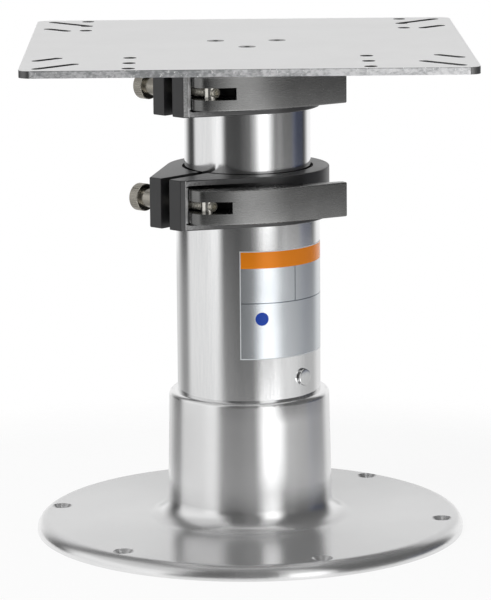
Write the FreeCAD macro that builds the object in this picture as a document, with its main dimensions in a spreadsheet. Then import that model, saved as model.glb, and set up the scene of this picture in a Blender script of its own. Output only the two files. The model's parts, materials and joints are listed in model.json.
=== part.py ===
import FreeCAD, Part
import math
import os
import re
import Sketcher

# Telescoping table pedestal for a boat cabin. A round floor casting carries three
# tubes that slide in one another. Each outer tube end is squeezed by a split clamp
# ring with a cam lever, and the inner tube carries the slotted table plate.
# Millimetres, +Z up, origin on the floor at the centre of the base.

SIZES = {
    # Floor casting
    "base_radius": 152.4,
    "base_rise": 10.0,
    "rim_round": 9.0,
    "base_wall": 6.2,
    "rim_wall": 6.0,
    "collar_foot_wall": 7.7,
    "collar_mouth_wall": 6.1,
    "collar_top": 101.5,
    "collar_round": 3.4,
    "foot_round": 15.0,
    "socket_floor": 6.0,
    "socket_shelf": 14.8,
    "web_thickness": 4.0,
    "floor_screw_inset": 14.4,
    "floor_screw_hole": 3.5,
    "floor_screw_sink": 7.2,
    "floor_screw_boss": 9.5,
    "floor_screw_angle": -10.0,
    "floor_screw_count": 6,
    # Tubes
    "outer_tube_radius": 50.8,
    "tube_wall": 3.2,
    "tube_spacing": 3.15,
    "middle_tube_length": 324.0,
    "stroke": 177.8,
    "tube_slot_width": 3.0,
    "tube_slot_depth": 25.0,
    "tube_slot_count": 4,
    "groove_depth": 0.8,
    "groove_height": 3.4,
    # Fits
    "seat_gap": 0.05,
    "slide_gap": 0.12,
    "end_gap": 0.3,
    "cut_over": 1.0,
    # Bushes at the tube mouths and guide rings at the tube feet
    "bush_length": 38.4,
    "bush_flange": 2.0,
    "bush_split": 2.5,
    "guide_foot": 2.7,
    "guide_sleeve": 30.0,
    "guide_lip": 3.2,
    # Clamp rings
    "clamp_wall": 6.75,
    "clamp_height": 35.0,
    "clamp_grip": 29.0,
    "clamp_lip_gap": 1.75,
    "ear_reach": 26.9,
    "ear_gap": 8.2,
    "ear_thickness": 10.6,
    "ear_face": 10.3,
    "pocket_wall": 10.1,
    "pocket_edge": 2.2,
    "pocket_edge_depth": 5.5,
    "pocket_lip": 3.7,
    "bolt_slot_depth": 4.6,
    "pocket_round": 2.0,
    "clamp_edge_round": 0.9,
    "bolt_reach": 13.4,
    "lower_clamp_angle": -43.0,
    "upper_clamp_angle": -44.5,
    # Cam levers
    "lever_height": 24.0,
    "cam_radius": 12.0,
    "cam_offset": 1.1,
    "cam_gap": 0.2,
    "lever_set": 41.5,
    "upper_lever_turn": 6.0,
    "lever_bend_radius": 120.0,
    "lever_bend_angle": 29.2,
    "paddle_length": 43.8,
    "paddle_thickness": 6.0,
    "lever_ring_gap": 2.2,
    "lever_shoulder": 118.0,
    "lever_edge_round": 1.0,
    "fork_slot_height": 8.4,
    "fork_slot_end": 17.2,
    # Clamp bolt, barrel pin and thumb nut
    "bolt_radius": 3.5,
    "bolt_hole_gap": 0.4,
    "bolt_end": 6.0,
    "bolt_socket": 1.8,
    "bolt_socket_depth": 3.0,
    "barrel_radius": 4.75,
    "barrel_round": 0.5,
    "bolt_round": 0.6,
    "nut_seat": 17.5,
    "nut_seat_radius": 8.2,
    "nut_gap": 0.2,
    "nut_neck_radius": 6.6,
    "nut_neck_length": 13.1,
    "nut_head_radius": 9.6,
    "nut_head_length": 7.8,
    "nut_cap": 2.0,
    "nut_round": 0.8,
    "knurl_count": 36,
    "knurl_depth": 0.5,
    # Rivet on the outer tube
    "rivet_height": 116.0,
    "rivet_angle": -42.7,
    "rivet_shank": 3.2,
    "rivet_head_radius": 6.0,
    "rivet_head": 2.4,
    "rivet_round": 0.9,
    # Hub, table plate and its screws
    "hub_overhang": 11.9,
    "hub_flange": 3.7,
    "hub_plug": 28.0,
    "hub_wall": 19.85,
    "plate_width": 304.8,
    "plate_thickness": 5.0,
    "plate_corner": 8.0,
    "plate_screw_inset": 9.85,
    "plate_screw_angle": -90.0,
    "plate_screw_count": 3,
    "plate_screw_radius": 3.0,
    "plate_screw_head": 6.1,
    "plate_screw_head_depth": 3.2,
    "plate_screw_length": 22.0,
    "plate_screw_room": 1.0,
    "plate_screw_socket": 2.3,
    "plate_screw_socket_depth": 2.0,
    "table_hole": 4.5,
    "front_hole_inset": 72.4,
    "back_hole_inset": 37.4,
    "hole_row_inset": 9.4,
    "hole_row_pitch": 29.5,
    "slot_half_width": 3.4,
    "long_slot_inset": 11.8,
    "long_slot_run": 24.0,
    "short_slot_side_inset": 9.8,
    "short_slot_end_inset": 55.8,
    "short_slot_run": 13.8,
}

doc = FreeCAD.newDocument("table_pedestal")
sheet = doc.addObject("Spreadsheet::Sheet", "Sizes")
for row, (word, value) in enumerate(SIZES.items(), 1):
    sheet.set(f"A{row}", word)
    sheet.set(f"B{row}", str(value))
    sheet.setAlias(f"B{row}", word)
working = doc.addObject("Spreadsheet::Sheet", "Working")
doc.recompute()

# Radii, heights and places that follow from the sizes, written once as formulas
MIDDLE_TUBE = "(outer_tube_radius - tube_wall - tube_spacing)"
INNER_TUBE = f"({MIDDLE_TUBE} - tube_wall - tube_spacing)"
SOCKET = "(outer_tube_radius + seat_gap)"
OUTER_BORE = "(outer_tube_radius - tube_wall)"
MIDDLE_BORE = f"({MIDDLE_TUBE} - tube_wall)"
INNER_BORE = f"({INNER_TUBE} - tube_wall)"
MIDDLE_GUIDE_BASE = "(socket_floor + end_gap)"
MIDDLE_TUBE_BASE = f"({MIDDLE_GUIDE_BASE} + guide_foot)"
MIDDLE_GUIDE_TOP = f"({MIDDLE_TUBE_BASE} + guide_sleeve)"
OUTER_TUBE_TOP = f"({MIDDLE_GUIDE_TOP} + stroke + end_gap + bush_length)"
MIDDLE_TUBE_TOP = f"({MIDDLE_TUBE_BASE} + middle_tube_length)"
LOWER_CLAMP_BASE = f"({OUTER_TUBE_TOP} - clamp_grip)"
UPPER_CLAMP_BASE = f"({MIDDLE_TUBE_TOP} - clamp_grip)"
INNER_GUIDE_TOP = f"({MIDDLE_TUBE_TOP} - bush_length - end_gap - stroke)"
INNER_TUBE_BASE = f"({INNER_GUIDE_TOP} - guide_sleeve)"
INNER_GUIDE_BASE = f"({INNER_TUBE_BASE} - guide_foot)"
HUB_BASE = f"({UPPER_CLAMP_BASE} + clamp_height + end_gap)"
PLATE_BASE = f"({HUB_BASE} + hub_flange)"
PLATE_TOP = f"({PLATE_BASE} + plate_thickness)"

# Clamp places, in a frame whose X runs along the bolt and whose ears point to -Y
LOWER_RING = f"({SOCKET} + clamp_wall)"
UPPER_RING = f"({MIDDLE_TUBE} + seat_gap + clamp_wall)"
POCKET_FACE = "(ear_gap / 2 + pocket_wall)"
BARREL_X = f"({POCKET_FACE} + cam_gap + cam_offset + cam_radius)"
HUB_PLUG = f"({INNER_BORE} - seat_gap)"
PLATE_SCREW_CIRCLE = f"({HUB_PLUG} - plate_screw_inset)"
FLOOR_SCREW_CIRCLE = "(base_radius - floor_screw_inset)"


def linked(formula):
    """The formula with each size name pointing at its cell of the sheet."""
    def cell(match):
        word = match.group()
        return f"Sizes.{word}" if word in SIZES else word
    return re.sub(r"[a-z][a-z_]*", cell, str(formula))


def number(formula):
    """Value of a formula, worked out on a sheet that nothing else reads."""
    working.set("A1", "=" + linked(formula))
    working.recompute()
    return working.get("A1")


def bind(thing, **formulas):
    """Tie each named property to a formula of the sheet. Two underscores stand for a dot."""
    for name, formula in formulas.items():
        thing.setExpression(name.replace("__", "."), linked(formula))


def origin(body, role):
    """One of the body's own planes or axes."""
    return next(item for item in body.Origin.OriginFeatures if item.Role == role)


def new_body(name):
    body = doc.addObject("PartDesign::Body", name)
    body.Label = name
    return body


def new_sketch(body, name, plane="XY_Plane", lift="0"):
    sketch = body.newObject("Sketcher::SketchObject", name)
    sketch.AttachmentSupport = [(origin(body, plane), "")]
    sketch.MapMode = "FlatFace"
    bind(sketch, AttachmentOffset__Base__z=lift)
    return sketch


def fix(sketch, kind, *places_and_formula, first_value=1.0):
    """Add a measured constraint whose value is a formula."""
    *places, formula = places_and_formula
    index = sketch.addConstraint(Sketcher.Constraint(kind, *places, first_value))
    sketch.setExpression(f"Constraints[{index}]", linked(formula))


def place_points(sketch, places):
    """Construction points at the given formulas; returns their numbers and positions."""
    numbers = []
    for step, (x, y) in enumerate(places):
        start = FreeCAD.Vector(step + 1, step * step, 0)
        number = sketch.addGeometry(Part.Point(start), True)
        fix(sketch, "DistanceX", -1, 1, number, 1, x)
        fix(sketch, "DistanceY", -1, 1, number, 1, y)
        numbers.append(number)
    sketch.recompute()
    return numbers, [sketch.getPoint(number, 1) for number in numbers]


def arc_between(first, last, radius, left):
    """Arc from first to last, shorter way, turning left or right, and whether it is reversed."""
    chord = last - first
    rise = math.sqrt(max(radius * radius - chord.Length ** 2 / 4, 0.0))
    across = FreeCAD.Vector(-chord.y, chord.x, 0).normalize()
    centre = (first + last) * 0.5 + across * (rise if left else -rise)
    begin, finish = (first, last) if left else (last, first)
    angles = [math.atan2(spot.y - centre.y, spot.x - centre.x) for spot in (begin, finish)]
    circle = Part.Circle(centre, FreeCAD.Vector(0, 0, 1), radius)
    return Part.ArcOfCircle(circle, angles[0], angles[1]), not left


def outline(sketch, *corners):
    """Closed outline through the corners. A corner is x, y and, where the edge that
    ends there is an arc, its radius and the side it turns to."""
    numbers, spots = place_points(sketch, [corner[:2] for corner in corners])
    for index, corner in enumerate(corners):
        first, last = spots[index - 1], spots[index]
        ends = (numbers[index - 1], numbers[index])
        swapped = False
        if len(corner) == 2:
            edge = sketch.addGeometry(Part.LineSegment(first, last), False)
        else:
            radius_now = number(corner[2])
            arc, swapped = arc_between(first, last, radius_now, corner[3] == "left")
            edge = sketch.addGeometry(arc, False)
            fix(sketch, "Radius", edge, corner[2], first_value=radius_now)
        start, finish = (2, 1) if swapped else (1, 2)
        sketch.addConstraint(Sketcher.Constraint("Coincident", edge, start, ends[0], 1))
        sketch.addConstraint(Sketcher.Constraint("Coincident", edge, finish, ends[1], 1))
    return sketch


def circle(sketch, radius, x="0", y="0"):
    """Full circle of the sketch, its centre and radius given by formulas."""
    numbers, spots = place_points(sketch, [(x, y)])
    edge = sketch.addGeometry(Part.Circle(spots[0], FreeCAD.Vector(0, 0, 1), 1.0), False)
    sketch.addConstraint(Sketcher.Constraint("Coincident", edge, 3, numbers[0], 1))
    fix(sketch, "Radius", edge, radius)
    return sketch


def slot(sketch, half_width, start, finish):
    """Round-ended slot between two centres."""
    numbers, spots = place_points(sketch, [start, finish])
    along = (spots[1] - spots[0]).normalize()
    across = FreeCAD.Vector(-along.y, along.x, 0)
    heading = math.atan2(along.y, along.x)
    sides = []
    ends = []
    for sign in (1, -1):
        line = Part.LineSegment(spots[0] + across * sign, spots[1] + across * sign)
        sides.append(sketch.addGeometry(line, False))
    for spot, turn in ((spots[0], 90), (spots[1], -90)):
        round_end = Part.Circle(spot, FreeCAD.Vector(0, 0, 1), 1.0)
        angle = heading + math.radians(turn)
        ends.append(sketch.addGeometry(Part.ArcOfCircle(round_end, angle, angle + math.pi), False))
    for end, number in zip(ends, numbers):
        sketch.addConstraint(Sketcher.Constraint("Coincident", end, 3, number, 1))
    joins = ((ends[0], 1, sides[0], 1), (ends[0], 2, sides[1], 1),
             (ends[1], 2, sides[0], 2), (ends[1], 1, sides[1], 2))
    for join in joins:
        sketch.addConstraint(Sketcher.Constraint("Tangent", *join))
    sketch.addConstraint(Sketcher.Constraint("Equal", ends[0], ends[1]))
    fix(sketch, "Radius", ends[0], half_width)


def pad(body, name, sketch, length):
    feature = body.newObject("PartDesign::Pad", name)
    feature.Profile = sketch
    bind(feature, Length=length)
    doc.recompute()
    return feature


def pocket(body, name, sketch, length):
    """Cut upwards from the sketch."""
    before = body.Shape.Volume
    feature = body.newObject("PartDesign::Pocket", name)
    feature.Profile = sketch
    feature.Reversed = True
    bind(feature, Length=length)
    return removed(body, feature, before)


def revolve(body, name, sketch):
    feature = body.newObject("PartDesign::Revolution", name)
    feature.Profile = sketch
    feature.ReferenceAxis = (sketch, ["V_Axis"])
    feature.Angle = 360
    doc.recompute()
    return feature


def removed(body, feature, before):
    """Recompute a cut and make sure that it took material away."""
    doc.recompute()
    if not body.Shape.Volume < before - 1e-3:
        raise RuntimeError(f"{feature.Name} cuts nothing")
    return feature


def primitive(body, kind, name, place=("0", "0", "0"), turn=None, **formulas):
    """PartDesign primitive at a place, with its axis turned where asked."""
    cuts = kind.startswith("Subtractive")
    before = body.Shape.Volume if cuts else 0.0
    feature = body.newObject(f"PartDesign::{kind}", name)
    if turn:
        feature.Placement = FreeCAD.Placement(FreeCAD.Vector(), FreeCAD.Rotation(*turn))
    bind(feature, Placement__Base__x=place[0], Placement__Base__y=place[1],
         Placement__Base__z=place[2], **formulas)
    if cuts:
        return removed(body, feature, before)
    doc.recompute()
    return feature


def around(body, name, features, count, angle=360):
    """Polar pattern of the features about the body's own Z axis."""
    pattern = body.newObject("PartDesign::PolarPattern", name)
    pattern.Originals = features
    pattern.Axis = (origin(body, "Z_Axis"), [""])
    pattern.Angle = angle
    bind(pattern, Occurrences=count)
    body.Tip = pattern
    doc.recompute()
    return pattern


def round_edges(body, name, radius, wanted):
    """Fillet on each edge of the tip that the test accepts."""
    tip = body.Tip
    picked = [f"Edge{number}" for number, edge in enumerate(tip.Shape.Edges, 1) if wanted(edge)]
    if not picked:
        raise RuntimeError(f"{name} finds no edge")
    feature = body.newObject("PartDesign::Fillet", name)
    feature.Base = (tip, picked)
    bind(feature, Radius=radius)
    doc.recompute()
    return feature


def upright(edge):
    """A straight edge along Z."""
    if not isinstance(edge.Curve, Part.Line):
        return False
    return abs(edge.Curve.Direction.z) > 0.999


def turned(body, angle):
    """Turn a finished body about the tube axis."""
    bind(body, Placement__Rotation__Angle=angle)
    doc.recompute()


def along_x():
    """Rotation that lays a primitive's axis along X."""
    return FreeCAD.Vector(0, 1, 0), 90


def base_flange():
    body = new_body("base_flange")
    under = "(base_rise - base_wall)"
    mouth = f"({SOCKET} + collar_mouth_wall)"
    foot = f"({SOCKET} + collar_foot_wall)"
    shelf = f"({SOCKET} - socket_shelf)"
    socket_wall = f"({foot} + foot_round / 2)"
    skin = new_sketch(body, "casting_section", "XZ_Plane")
    outline(skin,
            (shelf, "0"),
            (socket_wall, "0"),
            (socket_wall, under),
            ("base_radius - rim_wall", under),
            ("base_radius - rim_wall", "0"),
            ("base_radius", "0"),
            ("base_radius", "base_rise - rim_round"),
            ("base_radius - rim_round", "base_rise", "rim_round", "left"),
            (f"{foot} + foot_round", "base_rise"),
            (foot, "base_rise + foot_round", "foot_round", "right"),
            (mouth, "collar_top - collar_round"),
            (f"{mouth} - collar_round", "collar_top", "collar_round", "left"),
            (SOCKET, "collar_top"),
            (SOCKET, "socket_floor"),
            (shelf, "socket_floor"))
    revolve(body, "casting", skin)
    half_pitch = "(180 / floor_screw_count)"
    x = f"{FLOOR_SCREW_CIRCLE} * cos({half_pitch})"
    y = f"{FLOOR_SCREW_CIRCLE} * sin({half_pitch})"
    depth = "(floor_screw_sink - floor_screw_hole)"
    boss = primitive(body, "AdditiveCylinder", "screw_boss", (x, y, "0"),
                     Radius="floor_screw_boss", Height=under)
    hole = primitive(body, "SubtractiveCylinder", "screw_hole", (x, y, "0"),
                     Radius="floor_screw_hole", Height="base_rise")
    sink = primitive(body, "SubtractiveCone", "screw_sink", (x, y, f"base_rise - {depth}"),
                     Radius1="floor_screw_hole", Radius2="floor_screw_sink", Height=depth)
    around(body, "screw_places", [boss, hole, sink], "floor_screw_count")
    rib_start = f"({socket_wall} - web_thickness / 2)"
    rib = primitive(body, "AdditiveBox", "rib", (rib_start, "-web_thickness / 2", "0"),
                    Length=f"base_radius - rim_wall / 2 - {rib_start}", Width="web_thickness",
                    Height=under)
    around(body, "ribs", [rib], "floor_screw_count")
    turned(body, f"floor_screw_angle - {half_pitch}")
    return body


def tube(name, outside, low, high, groove=None):
    """Drawn tube. The groove, near the foot, holds the guide ring."""
    body = new_body(name)
    section = new_sketch(body, f"{name}_section", "XZ_Plane")
    corners = [(f"{outside} - tube_wall", low), (outside, low)]
    if groove:
        bottom = f"{groove} - groove_height / 2"
        top = f"{groove} + groove_height / 2"
        corners += [(outside, bottom), (f"{outside} - groove_depth", bottom),
                    (f"{outside} - groove_depth", top), (outside, top)]
    corners += [(outside, high), (f"{outside} - tube_wall", high)]
    outline(section, *corners)
    revolve(body, f"{name}_wall", section)
    return body


def slit_mouth(body, outside, top):
    """Saw slots that let the tube's mouth close when its clamp is tightened."""
    cut = primitive(body, "SubtractiveBox", f"{body.Label}_slot",
                    (f"{outside} - 2 * tube_wall", "-tube_slot_width / 2", f"{top} - tube_slot_depth"),
                    Length="3 * tube_wall", Width="tube_slot_width", Height="tube_slot_depth + cut_over")
    around(body, f"{body.Label}_slots", [cut], "tube_slot_count")


def rivet_turn():
    """Rotation that lays a Z axis along the rivet's radius of the tube."""
    about_tube = FreeCAD.Rotation(FreeCAD.Vector(0, 0, 1), number("rivet_angle"))
    return about_tube * FreeCAD.Rotation(FreeCAD.Vector(0, 1, 0), 90)


def guide_ring(name, tube_outside, bore, base):
    """Nylon ring at a tube's foot. Its inner bead runs in the tube's groove, so that
    the tube turns in it and lifts it."""
    body = new_body(name)
    inside = f"({tube_outside} + seat_gap)"
    outside = f"({bore} - slide_gap)"
    bead = f"({tube_outside} - groove_depth + seat_gap)"
    foot = f"({base} + guide_foot)"
    middle = f"({foot} + guide_sleeve / 2)"
    half = "(groove_height / 2 - seat_gap)"
    section = new_sketch(body, f"{name}_section", "XZ_Plane")
    outline(section,
            (f"{tube_outside} - guide_lip", base), (outside, base),
            (outside, f"{foot} + guide_sleeve"), (inside, f"{foot} + guide_sleeve"),
            (inside, f"{middle} + {half}"), (bead, f"{middle} + {half}"),
            (bead, f"{middle} - {half}"), (inside, f"{middle} - {half}"),
            (inside, foot), (f"{tube_outside} - guide_lip", foot))
    revolve(body, f"{name}_ring", section)
    split(body, bore, base, "guide_foot + guide_sleeve")
    return body


def bush(name, tube_outside, bore, flange_outside, top):
    """Flanged split bush that lines a tube's mouth."""
    body = new_body(name)
    inside = f"({tube_outside} + slide_gap)"
    outside = f"({bore} - seat_gap)"
    section = new_sketch(body, f"{name}_section", "XZ_Plane")
    outline(section,
            (inside, f"{top} - bush_length"), (outside, f"{top} - bush_length"),
            (outside, top), (flange_outside, top),
            (flange_outside, f"{top} + bush_flange"), (inside, f"{top} + bush_flange"))
    revolve(body, f"{name}_sleeve", section)
    split(body, f"{bore} + tube_wall", f"{top} - bush_length", "bush_length + bush_flange")
    return body


def split(body, outside, low, height):
    """The cut that lets a nylon ring spring over its tube."""
    primitive(body, "SubtractiveBox", f"{body.Label}_split",
              ("0", "0", f"{low} - cut_over"), Length=f"{outside} + cut_over", Width="bush_split",
              Height=f"{height} + 2 * cut_over")


def clamp_ring(name, grip, tube_inside_fit, base, angle):
    """Split ring with two ears. The right ear carries the lever's pocket between an
    upper and a lower flange, which run on to meet the ring at a tangent."""
    body = new_body(name)
    ring = f"({grip} + seat_gap + clamp_wall)"
    ear_end = f"({ring} + ear_reach)"
    left = "(ear_gap / 2 + ear_thickness)"
    right = "(ear_gap / 2 + ear_face)"
    disc = circle(new_sketch(body, f"{name}_disc", lift=base), ring)
    pad(body, f"{name}_blank", disc, "clamp_height")

    def touch(x, side):
        """Where the line from an ear's corner meets the ring."""
        spread = f"acos({ring} / sqrt({x} ^ 2 + {ear_end} ^ 2))"
        corner = f"atan2(-{ear_end}; {side}{x})"
        sign = "+" if side == "" else "-"
        way = f"({corner} {sign} {spread})"
        return f"{ring} * cos({way})", f"{ring} * sin({way})"

    ears = new_sketch(body, f"{name}_ears_outline", lift=base)
    outline(ears, (f"-{left}", f"-{ear_end}"), (right, f"-{ear_end}"),
            touch(right, ""), touch(left, "-"))
    pad(body, f"{name}_ears", ears, "clamp_height")

    low = number(base)
    high = low + sheet.get("clamp_height")
    far = number(ear_end)

    def outer_edge(edge):
        """Edges of the two flat faces, and the upright ones at the ears' corners."""
        if upright(edge):
            return math.hypot(edge.Vertexes[0].X, edge.Vertexes[0].Y) > far
        return all(min(abs(v.Z - low), abs(v.Z - high)) < 1e-3 for v in edge.Vertexes)
    round_edges(body, f"{name}_rounds", "clamp_edge_round", outer_edge)

    bore = circle(new_sketch(body, f"{name}_bore_outline", lift=f"{base} - cut_over"),
                  f"{grip} + seat_gap")
    pocket(body, f"{name}_bore", bore, "cut_over + clamp_grip + bush_flange + end_gap")
    lip = circle(new_sketch(body, f"{name}_lip_outline", lift=base), f"{tube_inside_fit} + clamp_lip_gap")
    pocket(body, f"{name}_lip", lip, "clamp_height + cut_over")
    primitive(body, "SubtractiveBox", f"{name}_slit",
              ("-ear_gap / 2", f"-({ear_end} + cut_over)", f"{base} - cut_over"),
              Length="ear_gap", Width=f"{ear_end} + cut_over", Height="clamp_height + 2 * cut_over")

    floor = f"({base} + pocket_lip)"
    mouth = f"({POCKET_FACE} + pocket_edge)"

    def on_ring(x):
        """Where the upright plane at x meets the ring's front."""
        return f"-sqrt({ring} ^ 2 - {x} ^ 2)"

    room = new_sketch(body, f"{name}_pocket_outline", lift=floor)
    outline(room,
            (mouth, f"-2 * {ring}"), (f"2 * {ring}", f"-2 * {ring}"), (f"2 * {ring}", "0"),
            (ring, "0"), (mouth, on_ring(mouth), ring, "right"))
    pocket(body, f"{name}_pocket", room, "clamp_height - 2 * pocket_lip")
    wall = number(mouth)
    levels = (low + sheet.get("pocket_lip"), high - sheet.get("pocket_lip"))

    def pocket_corner(edge):
        """The two edges where the pocket's raised rim meets its flanges."""
        return all(abs(v.X - wall) < 1e-3 and min(abs(v.Z - z) for z in levels) < 1e-3
                   for v in edge.Vertexes) and not upright(edge)
    round_edges(body, f"{name}_pocket_rounds", "pocket_round", pocket_corner)

    # Behind the rim the wall steps back to the face that the cam bears on
    step = f"({ear_end} - pocket_edge_depth)"
    past = f"({mouth} + pocket_round)"
    deeper = new_sketch(body, f"{name}_cam_face_outline", lift=floor)
    outline(deeper,
            (POCKET_FACE, f"-{step}"), (past, f"-{step}"), (past, on_ring(past)),
            (POCKET_FACE, on_ring(POCKET_FACE), ring, "right"))
    pocket(body, f"{name}_cam_face", deeper, "clamp_height - 2 * pocket_lip")
    primitive(body, "SubtractiveBox", f"{name}_bolt_slot",
              (f"{POCKET_FACE} - bolt_slot_depth", f"-{step}",
               f"{base} + clamp_height / 2 - bolt_radius - bolt_hole_gap"),
              Length="bolt_slot_depth + cut_over", Width=f"{step} - {ring} - bolt_reach",
              Height="2 * (bolt_radius + bolt_hole_gap)")

    bolt_line = (f"-({ring} + bolt_reach)", f"{base} + clamp_height / 2")
    primitive(body, "SubtractiveCylinder", f"{name}_nut_seat", (f"-{ring}", *bolt_line), along_x(),
              Radius="nut_seat_radius", Height=f"{ring} - nut_seat")
    primitive(body, "SubtractiveCylinder", f"{name}_bolt_hole", ("-(nut_seat + cut_over)", *bolt_line),
              along_x(), Radius="bolt_radius + bolt_hole_gap",
              Height=f"nut_seat + {POCKET_FACE} + 2 * cut_over")
    turned(body, angle)
    return body


def lever(name, ring, base, angle, turn="0"):
    """Cam lever with a forked head. The head is an eccentric about the barrel pin and
    bears on the pocket's end wall. The arm follows the ring and ends in a flat paddle."""
    body = new_body(name)
    shut = "(180 - lever_set)"
    cam_x = f"(cam_offset * cos({shut}))"
    cam_y = f"(cam_offset * sin({shut}))"
    bend = "lever_bend_angle"
    span = f"sqrt({BARREL_X} ^ 2 + ({LOWER_RING} + bolt_reach) ^ 2)"
    aim = f"(atan2({LOWER_RING} + bolt_reach; -{BARREL_X}) - lever_set * 1 deg)"
    axis_x = f"({span} * cos({aim}))"
    axis_y = f"({span} * sin({aim}))"
    follow = f"({LOWER_RING} + lever_ring_gap)"
    bend_x = f"({cam_x} + lever_bend_radius * sin({bend}))"
    bend_y = f"({cam_y} - cam_radius + lever_bend_radius * (1 - cos({bend})))"
    tip_x = f"({bend_x} + paddle_length * cos({bend}))"
    tip_y = f"({bend_y} + paddle_length * sin({bend}))"
    inner_x = f"({tip_x} - paddle_thickness * sin({bend}))"
    inner_y = f"({tip_y} + paddle_thickness * cos({bend}))"
    beyond = f"sqrt(({inner_x} - {axis_x}) ^ 2 + ({inner_y} - {axis_y}) ^ 2)"
    wrap = f"(atan2({inner_y} - {axis_y}; {inner_x} - {axis_x}) - acos({follow} / {beyond}))"
    low = f"({base} + (clamp_height - lever_height) / 2)"
    shape = new_sketch(body, f"{name}_outline", lift=low)
    outline(shape,
            (f"{cam_x} + cam_radius * cos(lever_shoulder)", f"{cam_y} + cam_radius * sin(lever_shoulder)"),
            (f"{cam_x} - cam_radius", cam_y, "cam_radius", "left"),
            (cam_x, f"{cam_y} - cam_radius", "cam_radius", "left"),
            (bend_x, bend_y, "lever_bend_radius", "left"),
            (tip_x, tip_y),
            (inner_x, inner_y),
            (f"{axis_x} + {follow} * cos({wrap})", f"{axis_y} + {follow} * sin({wrap})"),
            (f"{axis_x} - {follow} * cos({aim})", f"{axis_y} - {follow} * sin({aim})", follow, "right"))
    pad(body, f"{name}_arm", shape, "lever_height")
    reach = number(f"{tip_x} - paddle_thickness")

    def paddle_edge(edge):
        """The outline's edges above and below, and the upright ones at the tip."""
        if upright(edge):
            return edge.Vertexes[0].X > reach
        return True
    round_edges(body, f"{name}_rounds", "lever_edge_round", paddle_edge)
    primitive(body, "SubtractiveBox", f"{name}_fork",
              ("-2 * cam_radius", "-2 * cam_radius", f"{base} + (clamp_height - fork_slot_height) / 2"),
              Length="2 * cam_radius + fork_slot_end", Width="5 * cam_radius", Height="fork_slot_height")
    primitive(body, "SubtractiveCylinder", f"{name}_pin_hole", ("0", "0", f"{low} - cut_over"),
              Radius="barrel_radius + seat_gap", Height="lever_height + 2 * cut_over")
    at_barrel(body, ring, angle, f"lever_set + {turn}")
    return body


def at_barrel(body, ring, angle, own_turn):
    """Move a body made about the barrel pin to its place on the clamp."""
    y = f"({ring} + bolt_reach)"
    bind(body,
         Placement__Base__x=f"{BARREL_X} * cos({angle}) + {y} * sin({angle})",
         Placement__Base__y=f"{BARREL_X} * sin({angle}) - {y} * cos({angle})",
         Placement__Rotation__Angle=f"{angle} + {own_turn}")
    doc.recompute()


def barrel_pin(name, ring, base, angle):
    body = new_body(name)
    low = f"({base} + (clamp_height - lever_height) / 2)"
    primitive(body, "AdditiveCylinder", f"{name}_bar", ("0", "0", low),
              Radius="barrel_radius", Height="lever_height")
    round_edges(body, f"{name}_rounds", "barrel_round", lambda edge: not upright(edge))
    primitive(body, "SubtractiveCylinder", f"{name}_thread",
              ("-2 * barrel_radius", "0", f"{base} + clamp_height / 2"), along_x(),
              Radius="bolt_radius + seat_gap", Height="4 * barrel_radius")
    at_barrel(body, ring, angle, "0")
    return body


def clamp_bolt(name, ring, base, angle):
    """Threaded rod from the thumb nut through both ears and the barrel pin."""
    body = new_body(name)
    level = f"{base} + clamp_height / 2"
    start = "(-(nut_seat + nut_gap + nut_neck_length + nut_head_length - nut_cap - end_gap))"
    far = f"({BARREL_X} + bolt_end)"
    primitive(body, "AdditiveCylinder", f"{name}_rod", (f"{start} - {BARREL_X}", "0", level), along_x(),
              Radius="bolt_radius", Height=f"{far} - {start}")
    round_edges(body, f"{name}_ends", "bolt_round", lambda edge: isinstance(edge.Curve, Part.Circle))
    primitive(body, "SubtractiveCylinder", f"{name}_socket",
              (f"{far} - bolt_socket_depth - {BARREL_X}", "0", level), along_x(),
              Radius="bolt_socket", Height="bolt_socket_depth + cut_over")
    at_barrel(body, ring, angle, "0")
    return body


def thumb_nut(name, ring, base, angle):
    """Knurled nut with a long neck that bears on the flat seat in the left ear."""
    body = new_body(name)
    shape = new_sketch(body, f"{name}_section", "XZ_Plane")
    whole = "(nut_neck_length + nut_head_length)"
    outline(shape,
            ("bolt_radius + seat_gap", "0"), ("nut_neck_radius", "0"),
            ("nut_neck_radius", "nut_neck_length"),
            ("nut_head_radius - nut_round", "nut_neck_length"),
            ("nut_head_radius", "nut_neck_length + nut_round", "nut_round", "left"),
            ("nut_head_radius", f"{whole} - nut_round"),
            ("nut_head_radius - nut_round", whole, "nut_round", "left"),
            ("0", whole), ("0", f"{whole} - nut_cap"),
            ("bolt_radius + seat_gap", f"{whole} - nut_cap"))
    revolve(body, f"{name}_turning", shape)
    groove = primitive(body, "SubtractiveCylinder", f"{name}_knurl",
                       ("nut_head_radius + knurl_depth / 2", "0", "nut_neck_length - cut_over"),
                       Radius="knurl_depth", Height="nut_head_length + 2 * cut_over")
    around(body, f"{name}_knurls", [groove], "knurl_count")
    # Axis from +Z to -X of the clamp, then with the clamp about Z
    y = f"({ring} + bolt_reach)"
    out = "(nut_seat + nut_gap)"
    spin = number(angle)
    body.Placement.Rotation = (FreeCAD.Rotation(FreeCAD.Vector(0, 0, 1), spin)
                               * FreeCAD.Rotation(FreeCAD.Vector(0, 1, 0), -90))
    bind(body,
         Placement__Base__x=f"-{out} * cos({angle}) + {y} * sin({angle})",
         Placement__Base__y=f"-{out} * sin({angle}) - {y} * cos({angle})",
         Placement__Base__z=f"{base} + clamp_height / 2")
    doc.recompute()
    return body


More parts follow.
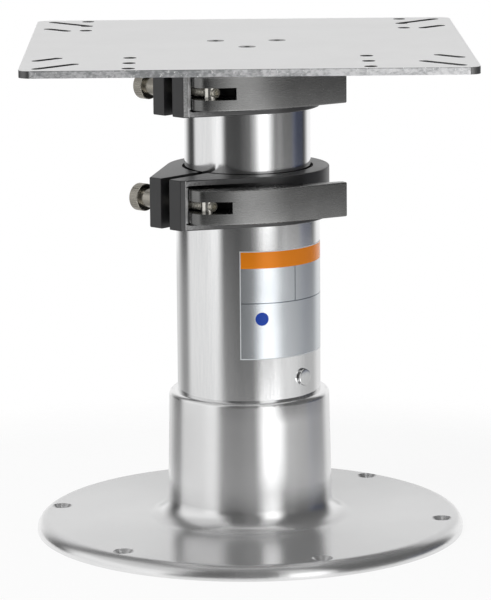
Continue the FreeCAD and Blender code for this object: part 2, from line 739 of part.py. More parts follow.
def tube_rivet():
    """Button rivet through the outer tube's wall, made along Z and laid on its radius."""
    body = new_body("tube_rivet")
    shape = new_sketch(body, "rivet_section", "XZ_Plane")
    outline(shape,
            ("0", "-tube_wall"), ("rivet_shank - seat_gap", "-tube_wall"),
            ("rivet_shank - seat_gap", "0"), ("rivet_head_radius", "0"),
            ("rivet_head_radius", "rivet_head - rivet_round"),
            ("rivet_head_radius - rivet_round", "rivet_head", "rivet_round", "left"),
            ("0", "rivet_head"))
    revolve(body, "rivet_turning", shape)
    body.Placement.Rotation = rivet_turn()
    bind(body, Placement__Base__x="outer_tube_radius * cos(rivet_angle)",
         Placement__Base__y="outer_tube_radius * sin(rivet_angle)", Placement__Base__z="rivet_height")
    doc.recompute()
    return body


def plate_hub():
    """Plug pressed into the inner tube, with the flange that the table plate sits on."""
    body = new_body("plate_hub")
    bore = f"({HUB_PLUG} - hub_wall)"
    rim = f"({INNER_TUBE} + hub_overhang)"
    low = f"({HUB_BASE} - hub_plug)"
    section = new_sketch(body, "hub_section", "XZ_Plane")
    outline(section,
            (bore, low), (HUB_PLUG, low), (HUB_PLUG, HUB_BASE), (rim, HUB_BASE),
            (rim, PLATE_BASE), (bore, PLATE_BASE))
    revolve(body, "hub_turning", section)
    tapped = primitive(body, "SubtractiveCylinder", "hub_thread",
                       (PLATE_SCREW_CIRCLE, "0", f"{PLATE_TOP} - plate_screw_length - plate_screw_room"),
                       Radius="plate_screw_radius + seat_gap",
                       Height="plate_screw_length + plate_screw_room")
    around(body, "hub_threads", [tapped], "plate_screw_count")
    turned(body, "plate_screw_angle")
    return body


def top_plate():
    """Square table plate with screw holes and corner slots for several table patterns."""
    body = new_body("top_plate")
    primitive(body, "AdditiveBox", "plate_blank", ("-plate_width / 2", "-plate_width / 2", PLATE_BASE),
              Length="plate_width", Width="plate_width", Height="plate_thickness")
    round_edges(body, "plate_corners", "plate_corner", upright)
    front = "(plate_width / 2 - front_hole_inset)"
    back = "(plate_width / 2 - back_hole_inset)"
    rows = [f"(plate_width / 2 - hole_row_inset - {step} * hole_row_pitch)" for step in range(3)]
    holes = new_sketch(body, "plate_holes", lift=f"{PLATE_BASE} - cut_over")
    for side in ("", "-"):
        for row in rows:
            circle(holes, "table_hole", f"{side}{front}", f"-{row}")
        for row in (rows[0], rows[2]):
            circle(holes, "table_hole", f"{side}{back}", row)
    pocket(body, "plate_drilling", holes, "plate_thickness + 2 * cut_over")
    corner = "(plate_width / 2 - long_slot_inset)"
    x = "(plate_width / 2 - short_slot_side_inset)"
    y = "(plate_width / 2 - short_slot_end_inset)"
    slots = new_sketch(body, "plate_slots_outline", lift=f"{PLATE_BASE} - cut_over")
    for side in ("", "-"):
        for end in ("", "-"):
            slot(slots, "slot_half_width",
                 (f"{side}{corner}", f"{end}{corner}"),
                 (f"{side}({corner} - long_slot_run)", f"{end}({corner} - long_slot_run)"))
            slot(slots, "slot_half_width",
                 (f"{side}{x}", f"{end}{y}"),
                 (f"{side}({x} - short_slot_run)", f"{end}({y} - short_slot_run)"))
    pocket(body, "plate_slots", slots, "plate_thickness + 2 * cut_over")
    for side in ("", "-"):
        name = "left" if side else "right"
        primitive(body, "SubtractiveCylinder", f"{name}_back_hole",
                  (f"{side}{back}", rows[1], f"{PLATE_BASE} - cut_over"),
                  Radius="table_hole", Height="plate_thickness + 2 * cut_over")
    screw_x = f"{PLATE_SCREW_CIRCLE} * cos(plate_screw_angle)"
    screw_y = f"{PLATE_SCREW_CIRCLE} * sin(plate_screw_angle)"
    hole = primitive(body, "SubtractiveCylinder", "plate_screw_hole",
                     (screw_x, screw_y, f"{PLATE_BASE} - cut_over"),
                     Radius="plate_screw_radius + bolt_hole_gap", Height="plate_thickness + 2 * cut_over")
    sink = primitive(body, "SubtractiveCone", "plate_screw_sink",
                     (screw_x, screw_y, f"{PLATE_TOP} - plate_screw_head_depth - seat_gap"),
                     Radius1="plate_screw_radius + seat_gap", Radius2="plate_screw_head + seat_gap",
                     Height="plate_screw_head_depth + seat_gap")
    around(body, "plate_screw_holes", [hole, sink], "plate_screw_count")
    return body


def plate_screws():
    """Countersunk socket screws that hold the plate to the hub, one group."""
    copies = []
    for index in range(int(sheet.get("plate_screw_count"))):
        body = new_body(f"plate_screw_{index + 1}")
        section = new_sketch(body, f"screw_section_{index + 1}", "XZ_Plane")
        outline(section,
                ("0", "-plate_screw_length"), ("plate_screw_radius", "-plate_screw_length"),
                ("plate_screw_radius", "-plate_screw_head_depth"), ("plate_screw_head", "0"),
                ("0", "0"))
        revolve(body, f"screw_turning_{index + 1}", section)
        key = new_sketch(body, f"screw_socket_outline_{index + 1}", lift="-plate_screw_socket_depth")
        across = [(f"plate_screw_socket * cos({60 * corner})", f"plate_screw_socket * sin({60 * corner})")
                  for corner in range(6)]
        outline(key, *across)
        pocket(body, f"screw_socket_{index + 1}", key, "plate_screw_socket_depth + cut_over")
        way = f"(plate_screw_angle + {index} * 360 / plate_screw_count)"
        bind(body, Placement__Base__x=f"{PLATE_SCREW_CIRCLE} * cos({way})",
             Placement__Base__y=f"{PLATE_SCREW_CIRCLE} * sin({way})", Placement__Base__z=PLATE_TOP)
        copies.append(body)
    group = doc.addObject("Part::Compound", "plate_screws")
    group.Label = "plate_screws"
    group.Links = copies
    doc.recompute()
    return group


def build():
    parts = []
    casting = base_flange()
    parts.append(casting)
    outer = tube("outer_tube", "outer_tube_radius", "socket_floor", OUTER_TUBE_TOP)
    slit_mouth(outer, "outer_tube_radius", OUTER_TUBE_TOP)
    primitive(outer, "SubtractiveCylinder", "rivet_hole", ("0", "0", "rivet_height"), (rivet_turn(),),
              Radius="rivet_shank", Height="outer_tube_radius + cut_over")
    parts.append(outer)
    middle_bead = f"({MIDDLE_TUBE_BASE} + guide_sleeve / 2)"
    middle = tube("middle_tube", MIDDLE_TUBE, MIDDLE_TUBE_BASE, MIDDLE_TUBE_TOP, middle_bead)
    slit_mouth(middle, MIDDLE_TUBE, MIDDLE_TUBE_TOP)
    parts.append(middle)
    inner_bead = f"({INNER_TUBE_BASE} + guide_sleeve / 2)"
    parts.append(tube("inner_tube", INNER_TUBE, INNER_TUBE_BASE, HUB_BASE, inner_bead))
    parts.append(guide_ring("middle_guide", MIDDLE_TUBE, OUTER_BORE, MIDDLE_GUIDE_BASE))
    parts.append(guide_ring("inner_guide", INNER_TUBE, MIDDLE_BORE, INNER_GUIDE_BASE))
    parts.append(bush("lower_bush", MIDDLE_TUBE, OUTER_BORE, "outer_tube_radius", OUTER_TUBE_TOP))
    parts.append(bush("upper_bush", INNER_TUBE, MIDDLE_BORE, MIDDLE_TUBE, MIDDLE_TUBE_TOP))
    clamps = (("lower", "outer_tube_radius", MIDDLE_TUBE, LOWER_RING, LOWER_CLAMP_BASE,
               "lower_clamp_angle", "0"),
              ("upper", MIDDLE_TUBE, INNER_TUBE, UPPER_RING, UPPER_CLAMP_BASE,
               "upper_clamp_angle", "upper_lever_turn"))
    for stage, grip, inside, ring, base, angle, turn in clamps:
        parts.append(clamp_ring(f"{stage}_clamp_ring", grip, inside, base, angle))
        parts.append(lever(f"{stage}_clamp_lever", ring, base, angle, turn))
        parts.append(barrel_pin(f"{stage}_barrel_pin", ring, base, angle))
        parts.append(clamp_bolt(f"{stage}_clamp_bolt", ring, base, angle))
        parts.append(thumb_nut(f"{stage}_thumb_nut", ring, base, angle))
    parts.append(tube_rivet())
    parts.append(plate_hub())
    parts.append(top_plate())
    parts.append(plate_screws())
    return parts


pieces = build()
doc.recompute()
for item in doc.Objects:
    if "Invalid" in item.State or "Error" in item.State:
        raise RuntimeError(f"{item.Name} did not compute: {item.State}")
for piece in pieces:
    if piece.Shape.isNull() or not piece.Shape.isValid():
        raise RuntimeError(f"{piece.Label} has no valid shape")
os.makedirs("parts", exist_ok=True)
for piece in pieces:
    piece.Shape.exportStep(f"parts/{piece.Label}.step")
    print(piece.Label, round(piece.Shape.Volume), len(piece.Shape.Solids))
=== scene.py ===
import bmesh
import bpy
import json
import math
from mathutils import Matrix, Vector

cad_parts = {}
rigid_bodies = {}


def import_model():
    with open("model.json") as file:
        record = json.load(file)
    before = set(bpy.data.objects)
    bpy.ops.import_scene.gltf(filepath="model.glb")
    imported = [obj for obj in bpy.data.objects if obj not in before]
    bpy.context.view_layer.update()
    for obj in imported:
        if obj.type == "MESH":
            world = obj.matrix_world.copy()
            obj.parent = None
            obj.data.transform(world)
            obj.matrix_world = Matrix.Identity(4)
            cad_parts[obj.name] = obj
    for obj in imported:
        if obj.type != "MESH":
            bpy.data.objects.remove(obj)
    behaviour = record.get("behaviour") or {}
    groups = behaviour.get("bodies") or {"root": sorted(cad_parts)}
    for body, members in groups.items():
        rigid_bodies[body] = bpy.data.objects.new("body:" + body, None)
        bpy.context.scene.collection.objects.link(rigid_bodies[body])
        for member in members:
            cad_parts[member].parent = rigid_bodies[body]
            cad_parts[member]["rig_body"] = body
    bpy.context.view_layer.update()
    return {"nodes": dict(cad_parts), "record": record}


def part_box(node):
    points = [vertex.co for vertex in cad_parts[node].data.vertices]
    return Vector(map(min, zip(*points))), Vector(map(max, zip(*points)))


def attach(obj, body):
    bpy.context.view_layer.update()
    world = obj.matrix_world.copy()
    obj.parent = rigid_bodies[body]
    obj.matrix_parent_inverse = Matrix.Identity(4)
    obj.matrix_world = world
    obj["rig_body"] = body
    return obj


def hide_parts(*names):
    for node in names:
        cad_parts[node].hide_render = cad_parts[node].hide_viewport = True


# Telescoping table pedestal: bright aluminium base, tubes and table plate, with two
# black cam-lever clamps. Metres, +Z up, origin on the floor at the base's centre.

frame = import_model()

MM = 0.001
AXIS = Vector((0, 0, 1))

# Camera at the photograph's viewing angle
PHOTO_LONG_SIDE = 600
FOCAL_PIXELS = 3479
SENSOR_WIDTH = 36
CAMERA_PLACE = Vector((-32.05, -2423.73, 627.44)) * MM
CAMERA_PITCH = math.radians(10.809)
CAMERA_YAW = math.radians(0.706)
CAMERA_ROLL = math.radians(-0.458)
CLIP_NEAR = 0.1
CLIP_FAR = 20

# Soft lamp above the camera's left shoulder
KEY_PLACE = Vector((-1.1, -1.3, 1.9))
KEY_AIM = Vector((0, 0, 0.15))
KEY_WIDTH = 1.2
KEY_POWER = 22

# Floor: the radii over which it fades out, to every ray and in the metal's reflections
FLOOR_RADIUS = 0.46
FLOOR_FADE = (0.30, 0.45)
FLOOR_MIRRORED_FADE = (0.19, 0.24)
FLOOR_TONE = 0.85
FLOOR_SHADOW = 0.11

# Studio: the heights in degrees over which each zone of its light gives way to the next
TABLE_TO_STRIP = (-13.2, -12.6)
STRIP_TO_LEVEL = (-10.3, -9.7)
LEVEL_TO_ROOM = (3.0, 14.0)
ROOM_TO_CEILING = (22.0, 36.0)
CEILING_TO_ZENITH = (50.0, 72.0)
ZENITH = 0.2

# Studio as matt surfaces see it: an even light, and the share of each zone in it
EVEN_LIGHT = 0.5
ZONE_SHARE = 0.3

# White backdrop behind the object: azimuths on each side where it starts, and where it ends above
BACKDROP_RIGHT = (122.0, 146.0)
BACKDROP_LEFT = (-126.0, -160.0)
BACKDROP_TOP = (30.0, 45.0)

# Shading
SMOOTH_ANGLE = math.radians(28)
MERGE_DISTANCE = 1e-6
FACE_TOLERANCE = 0.05 * MM

# Disc of the base: the radii over which its duller flat begins and ends
FLAT_BEGINS = (59 * MM, 68 * MM)
FLAT_ENDS = (148 * MM, 151.5 * MM)

# Table plate: the painted shadow line along the top of its sawn edge
PLATE_SHADOW_LINE = 0.5 * MM

# Flat pocket side of each clamp ring: radius of the circle that it touches, and the angle
POCKET_SIDES = {"lower": (57.6 * MM, math.radians(-75.5)), "upper": (51.25 * MM, math.radians(-74.2))}
POCKET_SIDE_WORN = (-66 * MM, -28 * MM)

# Clamp bolts, and the distance along them at which the pocket opens
ROD_ANGLES = {"lower": math.radians(-43.0), "upper": math.radians(-44.5)}
THREAD_PITCH = 1.5 * MM
POCKET_MOUTH = 16.4 * MM

# Label on the outer tube: angles from the front towards +X, heights from the floor
LABEL_LEFT = math.radians(-7.6)
LABEL_RIGHT = math.radians(87)
LABEL_LOW = 131.7 * MM
LABEL_HIGH = 208.5 * MM
LABEL_BAND_LOW = 196.2 * MM
LABEL_RULE = 171.5 * MM
LABEL_DIVIDER = math.radians(39)
LABEL_DISC = (math.radians(9.8), 160.5 * MM)
LABEL_DISC_RADIUS = 4.7 * MM
LABEL_LINE = 0.35 * MM
LABEL_BORDER = 0.7 * MM
LABEL_LIFT = 0.08 * MM
LABEL_SEGMENTS = 48


class Field:
    """A socket's output, used in plain arithmetic. Each operator adds a Math node."""

    def __init__(self, finish, socket):
        self.finish = finish
        self.socket = socket

    def _math(self, operation, first, second=0.0):
        return self.finish.node("ShaderNodeMath", {"operation": operation}, {0: first, 1: second})

    def __add__(self, other):
        return self._math("ADD", self, other)

    def __radd__(self, other):
        return self._math("ADD", other, self)

    def __sub__(self, other):
        return self._math("SUBTRACT", self, other)

    def __rsub__(self, other):
        return self._math("SUBTRACT", other, self)

    def __mul__(self, other):
        return self._math("MULTIPLY", self, other)

    def __rmul__(self, other):
        return self._math("MULTIPLY", other, self)

    def __neg__(self):
        return self._math("MULTIPLY", self, -1.0)

    def __abs__(self):
        return self._math("ABSOLUTE", self)

    def above(self, other):
        return self._math("GREATER_THAN", self, other)

    def below(self, other):
        return self._math("LESS_THAN", self, other)

    def most(self, other):
        return self._math("MAXIMUM", self, other)

    def root(self):
        return self._math("SQRT", self)

    def sine(self):
        return self._math("SINE", self)

    def arcsine(self):
        return self._math("ARCSINE", self)

    def bearing(self, ahead):
        """Angle from the ahead direction, for the side distance that this field gives."""
        return self._math("ARCTAN2", self, ahead)


class Finish:
    """A node tree being built, for a material or the world."""

    def __init__(self, tree):
        self.tree = tree
        self.tree.nodes.clear()

    def node(self, kind, settings, values, output=0):
        """Add a node: its settings first, then the values or links of its sockets."""
        made = self.tree.nodes.new(kind)
        for name, setting in settings.items():
            setattr(made, name, setting)
        for name, value in values.items():
            if isinstance(value, Field):
                self.tree.links.new(value.socket, made.inputs[name])
            else:
                made.inputs[name].default_value = value
        return Field(self, made.outputs[output]) if made.outputs else made

    def place(self, space="Object"):
        """Coordinates as three numbers: metres on a piece, a direction in the world."""
        spot = self.node("ShaderNodeTexCoord", {}, {}, space)
        return [self.node("ShaderNodeSeparateXYZ", {}, {0: spot}, part) for part in "XYZ"]

    def vector(self, x, y, z):
        return self.node("ShaderNodeCombineXYZ", {}, {0: x, 1: y, 2: z})

    def noise(self, x, y, z, scale, detail):
        return self.node("ShaderNodeTexNoise", {}, {"Vector": self.vector(x, y, z), "Scale": scale,
                                                    "Detail": detail})

    def ramp(self, value, low, high):
        """0 on low's side and 1 on high's, with a smooth change between."""
        return self.node("ShaderNodeMapRange", {"interpolation_type": "SMOOTHSTEP"},
                         {"Value": value, "From Min": low, "From Max": high})

    def mix(self, factor, first, second):
        """Colour between the two."""
        return self.node("ShaderNodeMix", {"data_type": "RGBA"}, {0: factor, 6: first, 7: second}, 2)

    def bump(self, height, distance, strength=1.0):
        return self.node("ShaderNodeBump", {}, {"Height": height, "Distance": distance,
                                                "Strength": strength})

    def ray(self, kind):
        """1 for a ray of this kind."""
        return self.node("ShaderNodeLightPath", {}, {}, f"Is {kind} Ray")

    def surface(self, values):
        """Principled surface with these sockets, as the material's output."""
        shader = self.node("ShaderNodeBsdfPrincipled", {}, values)
        self.node("ShaderNodeOutputMaterial", {}, {"Surface": shader})


def new_finish(name):
    material = bpy.data.materials.new(name)
    material.use_nodes = True
    return material, Finish(material.node_tree)


def grey(level):
    return (level, level, level, 1)


def distance(x, y):
    return (x * x + y * y).root()


def reach(x, y, angle):
    """How far a point lies in a direction given by its angle from +X."""
    return x * math.cos(angle) + y * math.sin(angle)


def turned_casting():
    """Aluminium casting turned on a lathe: fine rings round the tube axis, duller on the flat."""
    material, paint = new_finish("turned_casting")
    x, y, z = paint.place()
    radius = distance(x, y)
    rings = paint.noise(radius, z, 0.0, 2600.0, 3.0)
    cloud = paint.noise(x, y, z, 28.0, 4.0)
    bright = paint.mix(cloud, (0.76, 0.76, 0.765, 1), grey(0.83))
    dull = paint.mix(cloud, (0.57, 0.57, 0.575, 1), grey(0.63))
    flat = paint.ramp(radius, *FLAT_BEGINS) * (1 - paint.ramp(radius, *FLAT_ENDS))
    paint.surface({"Base Color": paint.mix(flat, bright, dull), "Metallic": 0.92 - 0.2 * flat,
                   "Roughness": 0.16 + 0.1 * rings,
                   "Anisotropic": 0.8, "Anisotropic Rotation": 0.25,
                   "Normal": paint.bump(rings, 0.02 * MM, 0.5)})
    return material


def drawn_tube(name, roughness, grain):
    """Drawn tube with fine marks along it and round it."""
    material, paint = new_finish(name)
    x, y, z = paint.place()
    angle = x.bearing(y)
    around = paint.noise(angle * 0.01, z, 0.0, 2200.0, 3.0)
    along = paint.noise(angle * 0.05, z * 0.02, 0.0, 5200.0, 3.0)
    streak = paint.noise(angle * 0.05, z * 0.05, 0.0, 700.0, 3.0)
    marks = paint.ramp(around * 0.4 + along * 0.25 + streak * 0.35, 0.38, 0.62)
    paint.surface({"Base Color": paint.mix(marks, (0.785, 0.79, 0.795, 1), grey(0.845)),
                   "Metallic": 1.0, "Roughness": roughness + grain * (around + along),
                   "Normal": paint.bump(around + along, 0.008 * MM, 0.6)})
    return material


def milled_plate():
    """Mill-finish plate: cloudy flat faces, painted shade on the walls of its holes and slots, and a
    rough sawn edge with bright nicks and a painted shadow line along its top."""
    material, paint = new_finish("milled_plate")
    x, y, z = paint.place()
    low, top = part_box("top_plate")
    edge = abs(x).above(top.x - FACE_TOLERANCE).most(abs(y).above(top.y - FACE_TOLERANCE))
    cloud = paint.noise(x, y, z, 22.0, 5.0)
    grain = paint.noise(x * 0.15, y, z, 1800.0, 3.0)
    face = paint.mix(cloud, grey(0.87), grey(0.94))
    saw = paint.noise(x, y, z * 0.6, 900.0, 4.0)
    drift = paint.noise(x, y, z, 16.0, 2.0)
    speck = paint.noise(x * 0.6, y * 0.6, z, 520.0, 4.0)
    # The blotches grow lighter towards +X
    blotch = paint.ramp(drift * 0.62 + speck * 0.38 + x * 0.4, 0.36, 0.58)
    nicks = paint.ramp(paint.noise(x, y, z, 420.0, 2.0), 0.63, 0.67)
    sawn = paint.mix(blotch, (0.40, 0.41, 0.42, 1), (0.97, 0.97, 0.98, 1))
    # Painted shadow: a dark line along the top of the sawn edge
    sawn = paint.mix(z.above(top.z - PLATE_SHADOW_LINE) * 0.5, sawn, grey(0.2))
    sawn = paint.mix(nicks, sawn, grey(1.0))
    # Painted shade: the walls of the holes and slots are darkened
    hole_wall_shade = z.below(top.z - FACE_TOLERANCE) * z.above(low.z + FACE_TOLERANCE) * (1 - edge)
    tone = paint.mix(hole_wall_shade, paint.mix(edge, face, sawn), grey(0.16))
    paint.surface({"Base Color": tone, "Metallic": 1.0,
                   "Roughness": 0.36 + 0.1 * grain + edge * (saw * 0.2 - 0.1),
                   "Normal": paint.bump(grain + edge * saw * 4.0, 0.02 * MM, 0.6)})
    return material


def black_coat(stage):
    """Satin black coat with a fine grain. The flat side that carries the lever's pocket is worn
    to dark metal, and the narrow face at the pocket's mouth is pale."""
    material, paint = new_finish(f"{stage}_clamp_coat")
    x, y, z = paint.place()
    radius, side = POCKET_SIDES[stage]
    grain = paint.noise(x, y, z, 1500.0, 3.0)
    cloud = paint.noise(x, y, z, 60.0, 4.0)
    speck = paint.ramp(paint.noise(x, y, z, 700.0, 3.0), 0.3, 0.7)
    along = reach(x, y, side + math.pi / 2)
    worn = abs(reach(x, y, side) - radius).below(FACE_TOLERANCE)
    worn = worn * (1 - paint.ramp(along, *POCKET_SIDE_WORN))
    mouth = abs(reach(x, y, ROD_ANGLES[stage]) - POCKET_MOUTH).below(FACE_TOLERANCE)
    coat = paint.mix(cloud, (0.012, 0.012, 0.013, 1), (0.020, 0.020, 0.021, 1))
    metal = paint.mix(speck, grey(0.15), grey(0.26))
    tone = paint.mix(mouth, paint.mix(worn, coat, metal), grey(0.72))
    paint.surface({"Base Color": tone, "Metallic": 0.9 * worn + 0.2 * mouth,
                   "Roughness": 0.32 + 0.1 * grain, "IOR": 1.6,
                   "Normal": paint.bump(grain, 0.04 * MM, 0.5)})
    return material


def dark_lever():
    """Dark anodised lever, brushed along its length."""
    material, paint = new_finish("dark_lever")
    x, y, z = paint.place()
    brush = paint.noise(x * 0.04, y * 0.04, z, 1800.0, 3.0)
    cloud = paint.noise(x, y, z, 70.0, 4.0)
    paint.surface({"Base Color": paint.mix(cloud, (0.15, 0.15, 0.148, 1), (0.215, 0.215, 0.213, 1)),
                   "Metallic": 0.97, "Roughness": 0.22 + 0.09 * brush,
                   "Normal": paint.bump(brush, 0.01 * MM, 0.4)})
    return material


def bright_steel(name, dark, light, roughness=0.14, metallic=1.0, thread_angle=None):
    """Plated steel. A threaded rod gets its turns as fine ridges along its own direction, with
    painted shade along each turn.
    """
    material, paint = new_finish(name)
    x, y, z = paint.place()
    grain = paint.noise(x, y, z, 1200.0, 3.0)
    height = grain * 0.1
    tone = paint.mix(grain, dark, light)
    if thread_angle is not None:
        turns = (reach(x, y, thread_angle) * (2 * math.pi / THREAD_PITCH)).sine()
        height = height + turns
        # Painted shade: dark lines along the thread's turns
        tone = paint.mix(paint.ramp(turns, 0.0, 0.8) * 0.6, tone, (0.2, 0.18, 0.13, 1))
    paint.surface({"Base Color": tone, "Metallic": metallic, "Roughness": roughness + 0.08 * grain,
                   "Normal": paint.bump(height, 0.12 * MM)})
    return material


def natural_nylon():
    material, paint = new_finish("natural_nylon")
    x, y, z = paint.place()
    cloud = paint.noise(x, y, z, 90.0, 3.0)
    paint.surface({"Base Color": paint.mix(cloud, (0.78, 0.77, 0.72, 1), (0.84, 0.83, 0.79, 1)),
                   "Roughness": 0.5 + 0.1 * cloud})
    return material


def label_film():
    """Clear silvery film with a pale border, a band of colour, two rules and a disc."""
    material, paint = new_finish("label_film")
    x, y, z = paint.place()
    angle = x.bearing(-y)
    radius = distance(x, y)
    cloud = paint.noise(x, y, z, 60.0, 3.0)
    band = z.above(LABEL_BAND_LOW)
    rule = abs(z - LABEL_RULE).below(LABEL_LINE)
    divider = (abs(angle - LABEL_DIVIDER) * radius).below(LABEL_LINE) * z.above(LABEL_RULE)
    lines = rule.most(divider) * (1 - band)
    disc = distance((angle - LABEL_DISC[0]) * radius, z - LABEL_DISC[1]).below(LABEL_DISC_RADIUS)
    side = ((angle - LABEL_LEFT) * radius).below(LABEL_BORDER)
    border = side.most((z - LABEL_LOW).below(LABEL_BORDER)).most((LABEL_HIGH - z).below(LABEL_BORDER))
    tone = paint.mix(cloud, (0.66, 0.69, 0.72, 1), (0.73, 0.76, 0.79, 1))
    tone = paint.mix(lines, tone, (0.22, 0.25, 0.28, 1))
    tone = paint.mix(band, tone, (0.87, 0.25, 0.008, 1))
    tone = paint.mix(disc, tone, (0.008, 0.05, 0.36, 1))
    tone = paint.mix(border, tone, (0.66, 0.69, 0.71, 1))
    printed = band.most(disc).most(border)
    paint.surface({"Base Color": tone, "Metallic": 0.97 - 0.8 * printed, "IOR": 1.35,
                   "Roughness": 0.19 + 0.05 * cloud})
    return material


def add_object(name, content):
    made = bpy.data.objects.new(name, content)
    bpy.context.scene.collection.objects.link(made)
    return made


def finish_mesh(name, shape, material):
    mesh = bpy.data.meshes.new(name)
    shape.to_mesh(mesh)
    shape.free()
    mesh.materials.append(material)
    return add_object(name, mesh)


def skin(node, material):
    """The node's own shape with rounded shading, standing for it on its body."""
    source = frame["nodes"][node]
    body = source["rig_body"]
    shape = bmesh.new()
    shape.from_mesh(source.data)
    bmesh.ops.remove_doubles(shape, verts=shape.verts, dist=MERGE_DISTANCE)
    bmesh.ops.dissolve_degenerate(shape, edges=shape.edges, dist=MERGE_DISTANCE)
    for face in shape.faces:
        face.smooth = True
    for edge in shape.edges:
        faces = edge.link_faces
        edge.smooth = len(faces) == 2 and faces[0].normal.angle(faces[1].normal, 0) < SMOOTH_ANGLE
    piece = finish_mesh(f"{node}_skin", shape, material)
    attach(piece, body)
    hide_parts(node)


def label():
    """Film bent round the outer tube."""
    radius = -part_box("outer_tube")[0].y + LABEL_LIFT
    shape = bmesh.new()
    low = shape.verts.new((radius * math.sin(LABEL_LEFT), -radius * math.cos(LABEL_LEFT), LABEL_LOW))
    high = shape.verts.new((low.co.x, low.co.y, LABEL_HIGH))
    edge = shape.edges.new((low, high))
    bmesh.ops.spin(shape, geom=[low, high, edge], cent=(0, 0, 0), axis=AXIS, steps=LABEL_SEGMENTS,
                   angle=LABEL_RIGHT - LABEL_LEFT, use_merge=False, use_duplicate=False)
    bmesh.ops.recalc_face_normals(shape, faces=shape.faces)
    for face in shape.faces:
        face.smooth = True
        if face.normal.dot(face.calc_center_median()) < 0:
            face.normal_flip()
    piece = finish_mesh("label", shape, label_film())
    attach(piece, "base")


def dress():
    casting = turned_casting()
    outer = drawn_tube("outer_tube_metal", 0.07, 0.04)
    inner = drawn_tube("middle_tube_metal", 0.08, 0.04)
    lever = dark_lever()
    nylon = natural_nylon()
    steel = bright_steel("clamp_steel", (0.66, 0.64, 0.59, 1), (0.78, 0.76, 0.71, 1))
    nut = bright_steel("nut_steel", (0.30, 0.28, 0.245, 1), (0.46, 0.44, 0.39, 1), 0.2)
    screw = bright_steel("screw_steel", grey(0.05), grey(0.09), 0.3)
    finishes = {
        "base_flange": casting, "plate_hub": casting,
        "outer_tube": outer, "tube_rivet": outer,
        "middle_tube": inner, "inner_tube": inner,
        "middle_guide": nylon, "inner_guide": nylon,
        "top_plate": milled_plate(), "plate_screws": screw,
    }
    for stage, angle in ROD_ANGLES.items():
        rod = bright_steel(f"{stage}_rod_steel", (0.90, 0.87, 0.76, 1), (0.98, 0.95, 0.86, 1),
                           0.22, 0.6, angle)
        finishes.update({
            f"{stage}_clamp_ring": black_coat(stage), f"{stage}_clamp_lever": lever,
            f"{stage}_clamp_bolt": rod, f"{stage}_barrel_pin": steel,
            f"{stage}_thumb_nut": nut, f"{stage}_bush": nylon,
        })
    for row in frame["record"]["subparts"]:
        skin(row["node"], finishes[row["node"]])


def studio_world():
    """White to the camera. Metal sees a dim studio in zones from the table up, with softboxes
    on both sides, and the white backdrop behind the object."""
    world = bpy.data.worlds.new("studio")
    bpy.context.scene.world = world
    world.use_nodes = True
    paint = Finish(world.node_tree)
    x, y, z = paint.place("Generated")
    azimuth = x.bearing(-y) * math.degrees(1)
    height = z.arcsine() * math.degrees(1)

    def band(middle, half, soft):
        return 1 - paint.ramp(abs(azimuth - middle), half - soft, half + soft)

    def zone(dim, boxes, slopes=()):
        """Light round one zone. A box has its middle, half width, soft edge and strength. A slope
        runs from one azimuth to another and has the change of light along it."""
        light = dim
        for middle, half, soft, strength in boxes:
            light = light + band(middle, half, soft) * strength
        for start, end, change in slopes:
            light = light + paint.ramp(azimuth, start, end) * change
        return light

    table = zone(0.46, [(33, 18.5, 9, 2.3)],
                 [(-34, -44, 0.32), (-60, -130, -0.34), (30, 55, 0.40), (58, 110, -0.34)])
    strip = zone(0.14, [(-79.5, 33, 9, 0.74), (-40, 14, 14, 0.1), (-140, 28, 10, 0.2)],
                 [(26, 64, 0.72), (64, 112, -0.32)])
    level = zone(0.05, [(-79.5, 34, 6, 0.82), (-56, 10, 8, 0.25), (29, 13.5, 12, 1.6),
                        (2, 10, 10, 0.12), (58, 7, 6, 0.12), (76, 20, 6, 0.07)])
    room = zone(0.09, [(-78, 38, 12, 0.9), (31, 13, 7, 1.5), (2, 10, 9, 0.08)])
    ceiling = zone(0.09, [(-78, 38, 12, 0.6), (31, 13, 7, 0.6), (2, 10, 9, 0.08)])
    light = table
    for heights, above in ((TABLE_TO_STRIP, strip), (STRIP_TO_LEVEL, level), (LEVEL_TO_ROOM, room),
                           (ROOM_TO_CEILING, ceiling), (CEILING_TO_ZENITH, ZENITH)):
        light = light + paint.ramp(height, *heights) * (above - light)
    light = light + paint.ray("Diffuse") * (EVEN_LIGHT + ZONE_SHARE * light - light)

    # Faint blue light at the far right, in the level zone alone
    over_strip = paint.ramp(height, *STRIP_TO_LEVEL)
    blue = band(106, 14, 8) * over_strip * (1 - paint.ramp(height, *LEVEL_TO_ROOM))
    tone = paint.vector(light * (1 - 0.15 * blue), light, light * (1 + 0.6 * blue))
    backdrop = paint.ramp(azimuth, *BACKDROP_RIGHT) + paint.ramp(azimuth, *BACKDROP_LEFT)
    backdrop = backdrop * (1 - paint.ramp(height, *BACKDROP_TOP)) * (0.6 + 0.4 * over_strip)
    white = paint.ray("Camera").most((paint.ray("Glossy") + paint.ray("Transmission")) * backdrop)
    tone = paint.mix(white, tone, grey(1.0))
    shader = paint.node("ShaderNodeBackground", {}, {"Color": tone, "Strength": 1.0})
    paint.node("ShaderNodeOutputWorld", {}, {"Surface": shader})


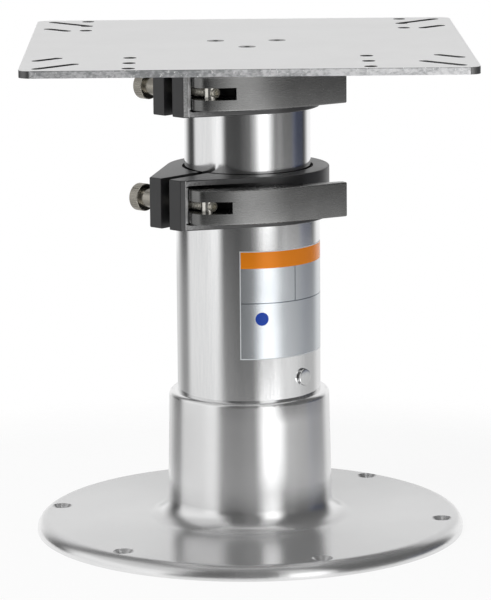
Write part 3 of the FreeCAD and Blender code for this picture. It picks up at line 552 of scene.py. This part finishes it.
def floor_white():
    """Pale floor that keeps the object's shadow. It ends sooner in the metal's reflections,
    where the table zone of the studio takes over."""
    material, paint = new_finish("floor_white")
    x, y, z = paint.place()
    radius = distance(x, y)
    glossy = paint.ray("Glossy")
    seen = paint.ray("Camera").most(glossy).most(paint.ray("Transmission"))
    mirrored = glossy * paint.ramp(radius, *FLOOR_MIRRORED_FADE)
    matt = paint.node("ShaderNodeBsdfDiffuse", {}, {"Color": grey(FLOOR_TONE)})
    white = paint.node("ShaderNodeEmission", {}, {"Color": grey(1.0), "Strength": 1.0})
    clear = paint.node("ShaderNodeBsdfTransparent", {}, {})
    lit = paint.node("ShaderNodeMixShader", {}, {0: seen * (1 - FLOOR_SHADOW), 1: matt, 2: white})
    faded = paint.ramp(radius, *FLOOR_FADE).most(mirrored)
    shader = paint.node("ShaderNodeMixShader", {}, {0: faded, 1: lit, 2: clear})
    paint.node("ShaderNodeOutputMaterial", {}, {"Surface": shader})
    return material


def floor():
    shape = bmesh.new()
    bmesh.ops.create_circle(shape, cap_ends=True, segments=96, radius=FLOOR_RADIUS)
    finish_mesh("floor", shape, floor_white())


def key_lamp():
    lamp = bpy.data.lights.new("key", "AREA")
    lamp.shape = "DISK"
    lamp.size = KEY_WIDTH
    lamp.energy = KEY_POWER
    key = add_object("key", lamp)
    key.location = KEY_PLACE
    key.rotation_mode = "QUATERNION"
    key.rotation_quaternion = (KEY_AIM - KEY_PLACE).to_track_quat("-Z", "Y")
    key.visible_camera = False
    key.visible_glossy = False


def camera():
    lens = bpy.data.cameras.new("camera")
    lens.sensor_width = SENSOR_WIDTH
    lens.lens = FOCAL_PIXELS * SENSOR_WIDTH / PHOTO_LONG_SIDE
    lens.clip_start = CLIP_NEAR
    lens.clip_end = CLIP_FAR
    forward = Vector((math.sin(CAMERA_YAW) * math.cos(CAMERA_PITCH),
                      math.cos(CAMERA_YAW) * math.cos(CAMERA_PITCH),
                      -math.sin(CAMERA_PITCH)))
    level = forward.cross(AXIS).normalized()
    upward = level.cross(forward)
    across = level * math.cos(CAMERA_ROLL) + upward * math.sin(CAMERA_ROLL)
    up = upward * math.cos(CAMERA_ROLL) - level * math.sin(CAMERA_ROLL)
    eye = add_object("camera", lens)
    turned = Matrix((across, up, -forward)).transposed().to_4x4()
    eye.matrix_world = Matrix.Translation(CAMERA_PLACE) @ turned
    bpy.context.scene.camera = eye


camera()
studio_world()
floor()
key_lamp()
dress()
label()
bpy.context.scene.view_settings.view_transform = "Standard"
bpy.context.view_layer.update()
